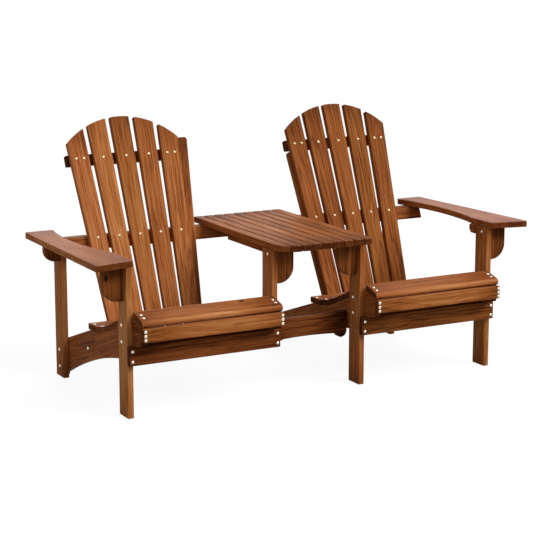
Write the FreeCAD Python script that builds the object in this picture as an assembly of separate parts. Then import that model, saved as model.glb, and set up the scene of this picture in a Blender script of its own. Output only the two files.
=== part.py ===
import FreeCAD, Part
import math
import os

# Companion seat: two reclined garden chairs joined by a slatted table, a long back beam and a low stretcher.
# Millimetres. X runs along the bench to the viewer's right, Y runs to the rear, Z runs up.
# While the pieces are made, X = 0 is the middle of the table and Y = 0 is the front face of the front legs.
# At the end everything moves along Y, so that the origin is the middle of the footprint box on the ground.

Vector = FreeCAD.Vector

# Boards
board = 22.0
board_width = 72.0
edge_round = 2.5

# Overall plan
chair_pitch = 900.0
chair_width = 568.0
leg_height = 524.0
beam_height = 46.0
beam_depth = 39.0
beam_reach = 38.0

# Back: heights along the slats are measured from their feet
recline = 23.0
back_clearance = 2.2
slat_count = 5
slat_length = 863.0
slat_foot_drop = 94.0
slat_low_width = 60.0
slat_high_width = 74.0
slat_low_gap = 11.0
slat_high_gap = 20.0
crown_radius = 311.0
top_rail_drop = 150.0
top_rail_height = 40.0
top_rail_reach = 226.0
bottom_rail_height = 62.0
stile_width = 44.0
stile_corner = 12.0
left_stile_lap = 27.0
left_stile_slope = 0.10
left_stile_drop = 89.0
right_stile_lap = 40.3
right_stile_slope = 0.065
right_stile_drop = 175.0

# Seat: it slopes down straight from the front and turns level in a hollow under the back
seat_front = (-4.0, 345.5)
seat_rear = (391.5, 224.0)
seat_hollow_radius = 400.0
seat_rear_tilt = 4.0
seat_overhang = 20.0
seat_slat_count = 6
seat_slat_gap = 4.0
nose_tilt = 16.0
nose_width = 74.0
nose_setback = 1.0
nose_top_round = 12.5
nose_low_round = 9.0
nose_depth = 65.0
nose_foot_drop = 14.0
front_slat_gap = 3.0
front_slat_height = 46.0

# Side frames
apron_low = 186.0
apron_height = 65.0
stringer_low_front = 200.0
stringer_arch = 26.0
stringer_rear_top = 127.0
heel_length = 22.0
heel_rise = 8.0
inner_heel_reach = 36.0
post_drop = 16.0
right_post_board_count = 2

# Arms and their brackets, measured outwards from the outer face of the front leg
left_arm_front = -62.0
right_arm_front = -44.0
arm_front_slant = 26.0
arm_past_beam = 36.0
arm_front_out = 130.0
arm_rear_out = 104.0
arm_front_in = 14.0
arm_waist_out = 23.0
arm_waist_y = 330.0
arm_rear_in = 3.0
arm_skew = 17.0
arm_corner = 9.0
bracket_reach = 76.0
bracket_straight = 68.0
bracket_foot = 20.0
rear_bracket_reach = 62.0
rear_bracket_straight = 48.0
rear_bracket_foot = 22.0
cleat_length = 42.0
cleat_height = 32.0
cleat_chamfer = 12.0

# Table
table_front = -68.0
table_past_beam = 43.0
table_over_legs = 17.0
table_slat_count = 9
table_slat_gap = 5.0
table_left_corner = 70.0
table_right_corner = 20.0
bearer_width = 45.0
bearer_inset = 7.0
bearer_length = 288.0
cross_bearer_front = 75.0

# Stretcher between the chairs
stretcher_front = 100.0
stretcher_low = 170.0
stretcher_height = 80.0
stretcher_end_gap = 23.0
stretcher_arch = 8.0
block_width = 45.0
block_drop = 20.0
block_top_drop = 4.0

# Screws: pan heads that stand on the wood, shanks in drilled holes
head_radius = 5.2
head_height = 2.4
shank_radius = 2.2
hole_clearance = 0.25
hole_extra_depth = 1.0
screw_bite = 18.0
screw_inset = 11.0
outer_slat_spread = 15.0
beam_screw_drop = 2.0
stile_screw_rises = (150.0, 330.0)
nose_screw_shares = (0.33, 0.62)
front_slat_screw_shares = (0.2, 0.5, 0.82)
front_screw_shift = 4.5
leg_screw_setback = 28.0
leg_screw_drops = (88.0, 31.0)
apron_screw_inset = 15.0
post_screw_shares = (0.31, 0.8)
post_beam_screw_height = 16.5
bracket_screw_drop = 18.0
stretcher_screw_shares = (0.17, 0.71)

# Places that follow from the sizes above
half_pitch = chair_pitch / 2
half_chair = chair_width / 2
stringer_out = half_chair - board
stringer_in = stringer_out - board
inner_leg_face = half_pitch - half_chair
inner_stringer_face = half_pitch - stringer_out
apron_high = apron_low + apron_height

# The back leans just behind the last seat slat; the beam, the posts and the ends of arms and table follow it
recline_sin = math.sin(math.radians(recline))
recline_cos = math.cos(math.radians(recline))
recline_tan = recline_sin / recline_cos
slat_foot_y = seat_rear[0] - seat_slat_gap / 2 + back_clearance - slat_foot_drop * recline_sin
slat_foot_z = seat_rear[1] - slat_foot_drop * recline_cos
rise_at_leg_top = (leg_height - slat_foot_z) / recline_cos
back_at_leg_top = slat_foot_y + rise_at_leg_top * recline_sin
beam_low = leg_height - beam_height
beam_front = back_at_leg_top + board / recline_cos
beam_rear = beam_front + beam_depth
post_front = beam_rear
post_rear = post_front + board_width
post_height = leg_height - post_drop
arm_rear = beam_rear + arm_past_beam
table_rear = beam_rear + table_past_beam
slat_low_pitch = slat_low_width + slat_low_gap
slat_high_pitch = slat_high_width + slat_high_gap
top_rail_centre = slat_length - top_rail_drop
top_rail_low = top_rail_centre - top_rail_height / 2
top_rail_high = top_rail_centre + top_rail_height / 2
bottom_rail_centre = bottom_rail_height / 2
last_slat_reach = (slat_count - 1) / 2 * slat_low_pitch + slat_low_width / 2
left_stile_reach = last_slat_reach - left_stile_lap + stile_width
right_stile_reach = last_slat_reach - right_stile_lap + stile_width

# The front slat hangs under the nose slat, on the sloped front of the stringers
nose_face = seat_front[0] - nose_depth
nose_corner = seat_front[1] - nose_depth * math.tan(math.radians(nose_tilt))
front_slat_high = nose_corner - front_slat_gap
front_slat_low = front_slat_high - front_slat_height
nose_foot = front_slat_low - nose_foot_drop

# The table spans the inner legs; the stretcher and its blocks fit between the inner stringers
table_width = 2 * (inner_leg_face + table_over_legs)
table_slat_width = (table_width + table_slat_gap) / table_slat_count - table_slat_gap
bearer_rear = board_width + bearer_length
bearer_low = leg_height - board
bearer_out = table_width / 2 - bearer_inset
bearer_in = bearer_out - bearer_width
cross_bearers = {"front": cross_bearer_front, "rear": bearer_rear - board_width}
stretcher_half = inner_stringer_face - stretcher_end_gap
stretcher_high = stretcher_low + stretcher_height
block_low = stretcher_low - block_drop
block_high = stretcher_high - block_top_drop

nodes = {}
screws = {}


def outline(start, *steps):
    """Closed wire: each step is a point for a straight edge, or a pair of points for an arc through them."""
    edges = []
    here = start
    for step in steps + (start,):
        middle, there = step if isinstance(step, tuple) else (None, step)
        if middle is not None:
            edges.append(Part.Arc(here, middle, there).toShape())
        elif here.distanceToPoint(there) > 0:
            edges.append(Part.LineSegment(here, there).toShape())
        here = there
    return Part.Wire(edges)


def eased(solid, radius=edge_round):
    """The same solid with all its edges rounded."""
    return solid.makeFillet(radius, solid.Edges)


def plank(low, high):
    """Board between two opposite corners, with rounded edges."""
    size = Vector(*high) - Vector(*low)
    return eased(Part.makeBox(size.x, size.y, size.z, Vector(*low)))


def plate(wire, thickness):
    """Board cut to an outline, with rounded edges."""
    return eased(Part.Face(wire).extrude(thickness))


def mirrored(solid):
    """The same piece with left and right swapped about X = 0."""
    return solid.mirror(Vector(0, 0, 0), Vector(1, 0, 0))


def screw(length):
    """Pan-head screw turned about Z: its head stands on Z = 0 and its shank goes down."""
    half_head = head_radius / 2
    dome_depth = (head_radius ** 2 + head_height ** 2) / (2 * head_height)
    half_way = math.sqrt(dome_depth ** 2 - half_head ** 2) - dome_depth + head_height
    wire = outline(
        Vector(0, 0, head_height),
        (Vector(half_head, 0, half_way), Vector(head_radius, 0, 0)),
        Vector(shank_radius, 0, 0),
        Vector(shank_radius, 0, -length),
        Vector(0, 0, -length),
    )
    return Part.Face(wire).revolve(Vector(0, 0, 0), Vector(0, 0, 1), 360)


def drive(group, at, direction, length, *through):
    """Screw with its head on the wood at a point; drills its hole in the named pieces."""
    at = Vector(*at)
    direction = Vector(*direction).normalize()
    solid = screw(length)
    solid.Placement = FreeCAD.Placement(at, FreeCAD.Rotation(Vector(0, 0, -1), direction))
    screws.setdefault(group, []).append(solid)
    hole = Part.makeCylinder(shank_radius + hole_clearance, length + hole_extra_depth, at, direction)
    for name in through:
        nodes[name] = nodes[name].cut(hole)


def slat_pitch_at(rise):
    """Distance between the centre lines of two back slats, at a height along the slats."""
    return slat_low_pitch + (slat_high_pitch - slat_low_pitch) * rise / slat_length


def slat_width_at(rise):
    """Width of a back slat, at a height along the slats."""
    return slat_low_width + (slat_high_width - slat_low_width) * rise / slat_length


def slat_side_at(position, side, rise):
    """Distance of a slat's left (-1) or right (+1) side from the chair's middle, at a height."""
    return position * slat_pitch_at(rise) + side * slat_width_at(rise) / 2


def crown_rise(position, side):
    """Height along the slats at which a slat's side meets the round crown of the back."""
    rise = slat_length
    for _ in range(20):
        rise = crown_point(slat_side_at(position, side, rise)).z
    return rise


def crown_point(across):
    """Point of the crown's circle at a distance from the chair's middle."""
    return Vector(across, 0, slat_length - crown_radius + math.sqrt(crown_radius ** 2 - across ** 2))


def laid_back(solid, middle):
    """Turns a piece of the back from its drawing plane to its recline, behind the given chair middle."""
    turned = solid.copy()
    turned.rotate(Vector(0, 0, 0), Vector(1, 0, 0), -recline)
    turned.translate(Vector(middle, slat_foot_y, slat_foot_z))
    return turned


def back_point(middle, across, depth, rise):
    """World place of a point of the back: across, behind the slats' front face, and up along the slats."""
    y = slat_foot_y + depth * recline_cos + rise * recline_sin
    z = slat_foot_z - depth * recline_sin + rise * recline_cos
    return (middle + across, y, z)


def back_slat(position):
    """Tapered slat of the fan, with its share of the round crown on top."""
    left_low = Vector(slat_side_at(position, -1, 0), 0, 0)
    right_low = Vector(slat_side_at(position, 1, 0), 0, 0)
    left_high = crown_point(slat_side_at(position, -1, crown_rise(position, -1)))
    right_high = crown_point(slat_side_at(position, 1, crown_rise(position, 1)))
    top = crown_point((left_high.x + right_high.x) / 2)
    return plate(outline(left_low, right_low, right_high, (top, left_high)), Vector(0, board, 0))


def back_stile(reach, slope, high):
    """Upright behind the last slat on the table side, its foot on the bottom rail and its head rounded."""
    low = bottom_rail_height
    corner = stile_corner
    cut = corner * (1 - math.sqrt(0.5))
    out_high = reach + slope * high
    out_shoulder = reach + slope * (high - corner)
    out_low = reach + slope * low
    wire = outline(
        Vector(out_low - stile_width, board, low),
        Vector(out_low, board, low),
        Vector(out_shoulder, board, high - corner),
        (Vector(out_high - cut, board, high - cut), Vector(out_high - corner, board, high)),
        Vector(out_high - stile_width + corner, board, high),
        (Vector(out_high - stile_width + cut, board, high - cut),
         Vector(out_shoulder - stile_width, board, high - corner)),
    )
    return plate(wire, Vector(0, board, 0))


def top_rail(beside_stile):
    """Rail behind the top of the slats; beside the tall stile it stops at the stile's slanted side."""
    low_end = high_end = top_rail_reach
    if beside_stile:
        low_end = left_stile_reach + left_stile_slope * top_rail_low - stile_width
        high_end = left_stile_reach + left_stile_slope * top_rail_high - stile_width
    wire = outline(
        Vector(-top_rail_reach, board, top_rail_low),
        Vector(low_end, board, top_rail_low),
        Vector(high_end, board, top_rail_high),
        Vector(-top_rail_reach, board, top_rail_high),
    )
    return plate(wire, Vector(0, board, 0))


def bottom_rail():
    """Rail behind the feet of the slats, between the stringers."""
    return plank((-stringer_in, board, 0), (stringer_in, 2 * board, bottom_rail_height))


def seat_edges():
    """Corners of the seat slats' undersides, evenly spaced along a straight slope and its hollow end."""
    tilt = math.radians(seat_rear_tilt)
    radius = seat_hollow_radius
    centre_y = seat_rear[0] - radius * math.sin(tilt)
    centre_z = seat_rear[1] + radius * math.cos(tilt)
    reach = math.hypot(centre_y - seat_front[0], centre_z - seat_front[1])
    straight = math.sqrt(reach ** 2 - radius ** 2)
    slope = math.atan2(centre_z - seat_front[1], centre_y - seat_front[0]) - math.asin(radius / reach)
    whole_length = straight + radius * (tilt - slope)
    corners = []
    for k in range(seat_slat_count + 1):
        run = whole_length * k / seat_slat_count
        turned = slope + max(0.0, run - straight) / radius
        flat = min(0.0, run - straight)
        corners.append(Vector(0, centre_y + radius * math.sin(turned) + flat * math.cos(slope),
                              centre_z - radius * math.cos(turned) + flat * math.sin(slope)))
    return corners


def stringer(x, rear):
    """Side board of a chair: it carries the seat, hooks over the apron and ends in a heel on the ground."""
    edges = seat_edges()
    edges[-1] = edges[-1] + (edges[-2] - edges[-1]).normalize() * seat_overhang
    fall = (edges[-1].z - stringer_rear_top) / (post_rear - edges[-1].y)
    heel = Vector(0, rear - heel_length, heel_rise)
    toe = Vector(0, 0, stringer_low_front)
    span = heel - toe
    crest = (heel + toe) * 0.5 + Vector(0, -span.z, span.y).normalize() * stringer_arch
    wire = outline(
        Vector(0, 0, apron_high),
        Vector(0, -board, apron_high),
        Vector(0, nose_face, nose_foot),
        Vector(0, nose_face, nose_corner),
        *edges,
        Vector(0, rear, stringer_rear_top - fall * (rear - post_rear)),
        Vector(0, rear, 0),
        Vector(0, rear - heel_length, 0),
        heel,
        (crest, toe),
    )
    solid = Part.Face(wire).extrude(Vector(board, 0, 0))
    solid.translate(Vector(x, 0, 0))
    return solid


def slat_on(start, end, gap, half_length):
    """Seat slat lying on the stringers between two corners of their top edge, given as (y, z) vectors."""
    along = (end - start).normalize()
    up = Vector(0, -along.z, along.y)
    low = start + along * (gap / 2)
    high = end - along * (gap / 2)
    wire = outline(low, high, high + up * board, low + up * board)
    solid = Part.Face(wire).extrude(Vector(2 * half_length, 0, 0))
    solid.translate(Vector(-half_length, 0, 0))
    return eased(solid)


def nose_slat(half_length):
    """Front seat slat with a bull nose, lying on the sloped front of the stringers."""
    tilt = math.radians(nose_tilt)
    forward = Vector(0, -math.cos(tilt), -math.sin(tilt))
    up = Vector(0, -math.sin(tilt), math.cos(tilt))
    rear = Vector(0, *seat_front) + forward * nose_setback
    front = rear + forward * nose_width
    section = Part.Face(outline(rear, rear + up * board, front + up * board, front))
    solid = section.extrude(Vector(2 * half_length, 0, 0))
    solid.translate(Vector(-half_length, 0, 0))
    rounds = (
        (rear, edge_round),
        (rear + up * board, edge_round),
        (front, nose_low_round),
        (front + up * board, nose_top_round),
    )
    for corner, radius in rounds:
        solid = solid.makeFillet(radius, [e for e in solid.Edges if (e.CenterOfMass - corner).Length < 1])
    return solid


def arm(front, skew):
    """Right-hand arm: straight outer edge, slanted front and a long hollow in the inner edge."""
    face = half_pitch + half_chair
    corner = arm_corner
    cut = corner * (1 - math.sqrt(0.5))
    inner_front = front + arm_front_slant
    front_in = face - arm_front_in
    rear_in = face - arm_rear_in + skew
    front_out = face + arm_front_out
    rear_out = face + arm_rear_out + skew
    waist_in = face + arm_waist_out + skew * arm_waist_y / arm_rear
    hollow_front = board_width + cleat_length
    z = leg_height
    wire = outline(
        Vector(front_in, inner_front + corner, z),
        (Vector(front_in + cut, inner_front + cut, z), Vector(front_in + corner, inner_front, z)),
        Vector(front_out - corner, front, z),
        (Vector(front_out - cut, front + cut, z), Vector(front_out, front + corner, z)),
        Vector(rear_out, arm_rear - corner, z),
        (Vector(rear_out - cut, arm_rear - cut, z), Vector(rear_out - corner, arm_rear, z)),
        Vector(rear_in + corner, arm_rear, z),
        (Vector(rear_in + cut, arm_rear - cut, z), Vector(rear_in, arm_rear - corner, z)),
        (Vector(waist_in, arm_waist_y, z), Vector(front_in, hollow_front, z)),
    )
    return plate(wire, Vector(0, 0, board))


def bracket(inner_x, front_y, straight, reach, foot, side):
    """Bracket beside a leg, under an arm or the table: straight outer edge, then a quarter round."""
    top = leg_height
    turn = top - straight
    radius = reach - foot
    low = turn - radius
    half_turn = radius * math.sqrt(0.5)
    wire = outline(
        Vector(inner_x, front_y, top),
        Vector(inner_x + side * reach, front_y, top),
        Vector(inner_x + side * reach, front_y, turn),
        (Vector(inner_x + side * (foot + half_turn), front_y, turn - half_turn),
         Vector(inner_x + side * foot, front_y, low)),
        Vector(inner_x, front_y, low),
    )
    return plate(wire, Vector(0, board, 0))


def arm_cleat(x):
    """Small block behind the top of a front leg, under the arm, with its lower rear corner cut off."""
    front = board_width
    rear = front + cleat_length
    low = leg_height - cleat_height
    wire = outline(
        Vector(x, front, low),
        Vector(x, rear - cleat_chamfer, low),
        Vector(x, rear, low + cleat_chamfer),
        Vector(x, rear, leg_height),
        Vector(x, front, leg_height),
    )
    return plate(wire, Vector(board, 0, 0))


def back_beam():
    """Beam behind both backs: its front leans with the slats, its top carries the arms and the table."""
    reach = half_pitch + half_chair + beam_reach
    low_front = beam_front - beam_height * recline_tan
    wire = outline(
        Vector(-reach, low_front, beam_low),
        Vector(-reach, beam_rear, beam_low),
        Vector(-reach, beam_rear, leg_height),
        Vector(-reach, beam_front, leg_height),
    )
    return plate(wire, Vector(2 * reach, 0, 0))


def table_slats():
    """Slats that lie front to rear, cut from a table top whose two front corners are rounded."""
    side = table_width / 2
    top = Part.makeBox(table_width, table_rear - table_front, board, Vector(-side, table_front, leg_height))
    for x, corner in ((-side, table_left_corner), (side, table_right_corner)):
        place = Vector(x, table_front, leg_height + board / 2)
        top = top.makeFillet(corner, [e for e in top.Edges if (e.CenterOfMass - place).Length < 1])
    slats = []
    for k in range(table_slat_count):
        left = Vector(k * (table_slat_width + table_slat_gap) - side, table_front, leg_height)
        slat = top.common(Part.makeBox(table_slat_width, table_rear - table_front, board, left))
        slats.append(eased(slat.Solids[0]))
    return slats


def stretcher():
    """Low board between the chairs, with a slightly arched lower edge."""
    half = stretcher_half
    y = stretcher_front
    wire = outline(
        Vector(half, y, stretcher_low),
        Vector(half, y, stretcher_high),
        Vector(-half, y, stretcher_high),
        Vector(-half, y, stretcher_low),
        (Vector(0, y, stretcher_low + stretcher_arch), Vector(half, y, stretcher_low)),
    )
    return plate(wire, Vector(0, board, 0))


def stretcher_block(x):
    """Upright block that holds a stretcher end against a stringer, round at its foot."""
    y = stretcher_front + board
    round_top = block_low + block_width / 2
    wire = outline(
        Vector(x, y, round_top),
        (Vector(x + block_width / 2, y, block_low), Vector(x + block_width, y, round_top)),
        Vector(x + block_width, y, block_high),
        Vector(x, y, block_high),
    )
    return plate(wire, Vector(0, board, 0))


# Backs
for side, name in ((-1, "left"), (1, "right")):
    middle = side * half_pitch
    for k in range(slat_count):
        nodes[f"{name}_back_slat_{k + 1}"] = laid_back(back_slat(k - (slat_count - 1) / 2), middle)
    nodes[f"{name}_back_top_rail"] = laid_back(top_rail(side < 0), middle)
    nodes[f"{name}_back_bottom_rail"] = laid_back(bottom_rail(), middle)
left_stile = back_stile(left_stile_reach, left_stile_slope, slat_length - left_stile_drop)
right_stile = back_stile(right_stile_reach, right_stile_slope, slat_length - right_stile_drop)
nodes["left_back_stile"] = laid_back(left_stile, -half_pitch)
nodes["right_back_stile"] = laid_back(mirrored(right_stile), half_pitch)
nodes["back_beam"] = back_beam().cut([nodes["left_back_stile"], nodes["right_back_stile"]])

# Seats
for side, name in ((-1, "left"), (1, "right")):
    middle = Vector(side * half_pitch, 0, 0)
    edges = seat_edges()
    slats = [slat_on(edges[k], edges[k + 1], seat_slat_gap, stringer_out) for k in range(seat_slat_count)]
    nodes[f"{name}_seat_slats"] = Part.makeCompound([slat.translated(middle) for slat in slats])
    nodes[f"{name}_nose_slat"] = nose_slat(stringer_out).translated(middle)
    nodes[f"{name}_front_slat"] = plank(
        (-stringer_out, nose_face - board, front_slat_low),
        (stringer_out, nose_face, front_slat_high)).translated(middle)
    nodes[f"{name}_apron"] = plank(
        (-half_chair, -board, apron_low), (half_chair, 0, apron_high)).translated(middle)

# Side frames: the inner front leg of the left chair is short and ends at the apron's lower edge,
# and the right rear post stands inside its stringer
post_setbacks = {"left_outer": 0, "right_outer": right_post_board_count}
leg_feet = {"left_outer": 0.0, "left_inner": apron_low, "right_inner": 0.0, "right_outer": 0.0}
leg_faces = {
    "left_outer": (-half_pitch - half_chair, 1),
    "left_inner": (-half_pitch + half_chair, -1),
    "right_inner": (half_pitch - half_chair, 1),
    "right_outer": (half_pitch + half_chair, -1),
}
for name, (face, inward) in leg_faces.items():
    low_x = min(face, face + inward * board)
    nodes[f"{name}_front_leg"] = plank((low_x, 0, leg_feet[name]), (low_x + board, board_width, leg_height))
    rear = post_rear if name.endswith("outer") else post_rear + inner_heel_reach
    nodes[f"{name}_stringer"] = stringer(low_x + inward * board, rear)
    nodes[f"{name}_bracket"] = bracket(face, board, bracket_straight, bracket_reach, bracket_foot, -inward)
    if name.endswith("outer"):
        post_x = low_x + inward * post_setbacks[name] * board
        nodes[f"{name}_rear_post"] = plank((post_x, post_front, 0), (post_x + board, post_rear, post_height))
        nodes[f"{name}_arm_cleat"] = arm_cleat(low_x)
nodes["left_outer_rear_bracket"] = bracket(
    -half_pitch - half_chair, post_front, rear_bracket_straight, rear_bracket_reach, rear_bracket_foot, -1)

# Arms: both lean a little to the left at the rear
nodes["right_arm"] = arm(right_arm_front, -arm_skew)
nodes["left_arm"] = mirrored(arm(left_arm_front, arm_skew))

# Table
nodes["table_slats"] = Part.makeCompound(table_slats())
nodes["table_left_bearer"] = plank(
    (-bearer_out, board_width, bearer_low), (-bearer_in, bearer_rear, leg_height))
nodes["table_right_bearer"] = mirrored(nodes["table_left_bearer"])
for name, front in cross_bearers.items():
    nodes[f"table_{name}_cross_bearer"] = plank(
        (-bearer_in, front, bearer_low), (bearer_in, front + board_width, leg_height))

# Stretcher
nodes["stretcher"] = stretcher()
nodes["left_stretcher_block"] = stretcher_block(-inner_stringer_face)
nodes["right_stretcher_block"] = stretcher_block(inner_stringer_face - block_width)

# Screws in the backs
back_normal = (0, recline_cos, -recline_sin)
back_forward = (0, -recline_cos, recline_sin)
beam_screw_rise = rise_at_leg_top - beam_screw_drop
for side, name in ((-1, "left"), (1, "right")):
    middle = side * half_pitch
    for k in range(slat_count):
        position = k - (slat_count - 1) / 2
        slat = f"{name}_back_slat_{k + 1}"
        spreads = (-outer_slat_spread, outer_slat_spread) if k in (0, slat_count - 1) else (0.0,)
        for spread in spreads:
            across = position * slat_pitch_at(top_rail_centre) + spread
            drive("back_screws", back_point(middle, across, 0, top_rail_centre), back_normal,
                  board + screw_bite, slat, f"{name}_back_top_rail")
        across = position * slat_pitch_at(beam_screw_rise)
        drive("back_screws", back_point(middle, across, 0, beam_screw_rise), back_normal,
              board + screw_bite, slat, "back_beam", f"{name}_back_stile")
        across = position * slat_pitch_at(bottom_rail_centre)
        drive("back_screws", back_point(middle, across, 0, bottom_rail_centre), back_normal,
              board + screw_bite, slat, f"{name}_back_bottom_rail")
stiles = (
    (-1, "left", left_stile_reach, left_stile_slope, slat_count),
    (1, "right", right_stile_reach, right_stile_slope, 1),
)
for side, name, reach, slope, last in stiles:
    for rise in stile_screw_rises:
        slat_edge = slat_side_at((slat_count - 1) / 2, 1, rise)
        across = (reach + slope * rise - stile_width + slat_edge) / 2
        drive("back_screws", back_point(side * half_pitch, -side * across, 2 * board, rise), back_forward,
              board + screw_bite, f"{name}_back_stile", f"{name}_back_slat_{last}")

# Screws in the seats
for side, name in ((-1, "left"), (1, "right")):
    for end, inner in ((-1, side > 0), (1, side < 0)):
        frame = f"{name}_inner_stringer" if inner else f"{name}_outer_stringer"
        x = side * half_pitch + end * (stringer_in + stringer_out) / 2
        nose_x = x - end * front_screw_shift
        front_x = x + end * front_screw_shift
        edges = seat_edges()
        for k in range(seat_slat_count):
            along = (edges[k + 1] - edges[k]).normalize()
            up = Vector(0, -along.z, along.y)
            at = (edges[k] + edges[k + 1]) * 0.5 + up * board
            drive("seat_screws", (x, at.y, at.z), (0, -up.y, -up.z), board + screw_bite,
                  f"{name}_seat_slats", frame)
        tilt = math.radians(nose_tilt)
        for share in nose_screw_shares:
            y = seat_front[0] - share * nose_width * math.cos(tilt) - board * math.sin(tilt)
            z = seat_front[1] - share * nose_width * math.sin(tilt) + board * math.cos(tilt)
            drive("seat_screws", (nose_x, y, z), (0, math.sin(tilt), -math.cos(tilt)), board + screw_bite,
                  f"{name}_nose_slat", frame)
        for share in front_slat_screw_shares:
            z = front_slat_low + share * front_slat_height
            drive("seat_screws", (front_x, nose_face - board, z), (0, 1, 0), board + screw_bite,
                  f"{name}_front_slat", frame)

# Screws in the side frames
for name, (face, inward) in leg_faces.items():
    chair = name.split("_")[0]
    into = (inward, 0, 0)
    out_of = (-inward, 0, 0)
    for drop in leg_screw_drops:
        drive("frame_screws", (face, board_width - leg_screw_setback, seat_front[1] - drop), into,
              board + screw_bite, f"{name}_front_leg", f"{name}_stringer")
    for z in (apron_low + apron_screw_inset, apron_high - apron_screw_inset):
        drive("frame_screws", (face + inward * board / 2, -board, z), (0, 1, 0), board + screw_bite,
              f"{chair}_apron", f"{name}_front_leg")
    drive("frame_screws", (face + inward * board, board * 1.5, leg_height - bracket_screw_drop), out_of,
          board + screw_bite, f"{name}_front_leg", f"{name}_bracket")
    rail_y, rail_z = back_point(0, 0, board * 1.5, bottom_rail_centre)[1:]
    drive("frame_screws", (face + inward * board, rail_y, rail_z), into, board + screw_bite,
          f"{name}_stringer", f"{chair}_back_bottom_rail")
    if name.endswith("outer"):
        setback = post_setbacks[name]
        outer_face = face + inward * max(0, setback - 1) * board
        for share in post_screw_shares:
            drive("frame_screws", (outer_face, post_front + board_width / 2, share * stringer_rear_top),
                  into, board + screw_bite, f"{name}_rear_post", f"{name}_stringer")
        post_middle = face + inward * (setback + 0.5) * board
        drive("frame_screws", (post_middle, post_rear, beam_low + post_beam_screw_height),
              (0, -1, 0), board_width + screw_bite, f"{name}_rear_post", "back_beam")
drive("frame_screws", (board - half_pitch - half_chair, post_front + board / 2, beam_low + screw_inset),
      (-1, 0, 0), board + screw_bite, "left_outer_rear_post", "left_outer_rear_bracket")

# Screws under the arms and the table, and in the stretcher
for side, chair in ((-1, "left"), (1, "right")):
    cleat_x = side * (half_pitch + half_chair - board / 2)
    drive("table_and_arm_screws", (cleat_x, board_width + cleat_length / 2, leg_height - cleat_height),
          (0, 0, 1), cleat_height + screw_bite / 2, f"{chair}_outer_arm_cleat", f"{chair}_arm")
    for share in stretcher_screw_shares:
        z = stretcher_low + share * stretcher_height
        x = side * (stretcher_half - screw_inset)
        drive("table_and_arm_screws", (x, stretcher_front + 2 * board, z), (0, -1, 0), board + screw_bite,
              f"{chair}_stretcher_block", "stretcher")
side_bearers = ("table_left_bearer", "table_right_bearer")
for k in range(table_slat_count):
    x = -table_width / 2 + k * (table_slat_width + table_slat_gap) + table_slat_width / 2
    for name, front in cross_bearers.items():
        drive("table_and_arm_screws", (x, front + board_width / 2, bearer_low), (0, 0, 1),
              board + screw_bite / 2, f"table_{name}_cross_bearer", *side_bearers, "table_slats")

for group, solids in screws.items():
    nodes[group] = Part.makeCompound(solids)

# The origin moves to the middle of the footprint box, on the ground
whole = Part.makeCompound(list(nodes.values())).BoundBox
to_centre = Vector(-(whole.XMin + whole.XMax) / 2, -(whole.YMin + whole.YMax) / 2, -whole.ZMin)
os.makedirs("parts", exist_ok=True)
for name, shape in nodes.items():
    shape.translated(to_centre).exportStep(f"parts/{name}.step")
print(len(nodes), "nodes; size", round(whole.XLength, 1), round(whole.YLength, 1), round(whole.ZLength, 1))
print("moved by", [round(v, 3) for v in to_centre])
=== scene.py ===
# %% [markdown]
# Companion seat.
# Two reclined timber chairs share a slatted table, a long back beam and a low stretcher. The boards are
# already modelled at their real size. This lesson gives them their stained timber, puts cross-recessed
# screws in their places, lights the bench softly and looks at it from its front left corner.

# %% Load the fixed frame
import math
import bpy
import numpy as np
from mathutils import Euler, Matrix, Vector


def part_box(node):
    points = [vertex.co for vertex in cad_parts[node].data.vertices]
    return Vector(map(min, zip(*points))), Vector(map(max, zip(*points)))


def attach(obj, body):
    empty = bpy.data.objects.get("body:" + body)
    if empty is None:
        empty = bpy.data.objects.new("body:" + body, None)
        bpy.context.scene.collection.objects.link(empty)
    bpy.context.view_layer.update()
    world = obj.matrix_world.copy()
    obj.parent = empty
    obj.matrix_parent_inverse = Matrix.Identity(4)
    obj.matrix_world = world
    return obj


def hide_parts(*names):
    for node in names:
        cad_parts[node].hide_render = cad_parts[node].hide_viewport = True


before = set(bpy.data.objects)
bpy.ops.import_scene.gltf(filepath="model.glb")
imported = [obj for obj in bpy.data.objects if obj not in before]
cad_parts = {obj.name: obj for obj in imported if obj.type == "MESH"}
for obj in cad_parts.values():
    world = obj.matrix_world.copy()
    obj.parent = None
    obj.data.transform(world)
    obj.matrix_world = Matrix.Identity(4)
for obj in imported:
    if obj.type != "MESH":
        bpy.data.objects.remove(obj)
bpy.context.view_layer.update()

# %% [markdown]
# Every shader here is a small tree of nodes. Writing each node by hand takes three lines, so one helper
# adds a node with its settings and feeds its sockets, either with a value or with another node's output.
# Colours are written as the sRGB hex values that a painter would match, and one function turns them into
# the linear values Blender needs.

# %% Helpers for node trees and colours
def add(tree, kind, inputs=None, **settings):
    """Add a node; settings are its properties, inputs maps a socket to a value or to an output to link."""
    made = tree.nodes.new(kind)
    for key, value in settings.items():
        setattr(made, key, value)
    for key, value in (inputs or {}).items():
        if isinstance(value, bpy.types.NodeSocket):
            tree.links.new(value, made.inputs[key])
        else:
            made.inputs[key].default_value = value
    return made


def paint(hex_code):
    """Linear RGBA of an sRGB hex colour: a channel c is ((c + 0.055) / 1.055) ** 2.4, or c / 12.92 near 0."""
    channels = [int(hex_code[k:k + 2], 16) / 255 for k in (1, 3, 5)]
    return [c / 12.92 if c <= 0.04045 else ((c + 0.055) / 1.055) ** 2.4 for c in channels] + [1.0]


def ramp(tree, fac, *stops):
    """Colour ramp fed by fac; each stop is a position and a hex colour."""
    made = add(tree, "ShaderNodeValToRGB", {"Fac": fac})
    points = made.color_ramp.elements
    while len(points) < len(stops):
        points.new(1.0)
    for point, (position, hex_code) in zip(points, stops):
        point.position = position
        point.color = paint(hex_code)
    return made.outputs["Color"]


def finish_with(piece, material):
    """Give a piece this one material in all its slots."""
    piece.data.materials.clear()
    piece.data.materials.append(material)


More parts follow.
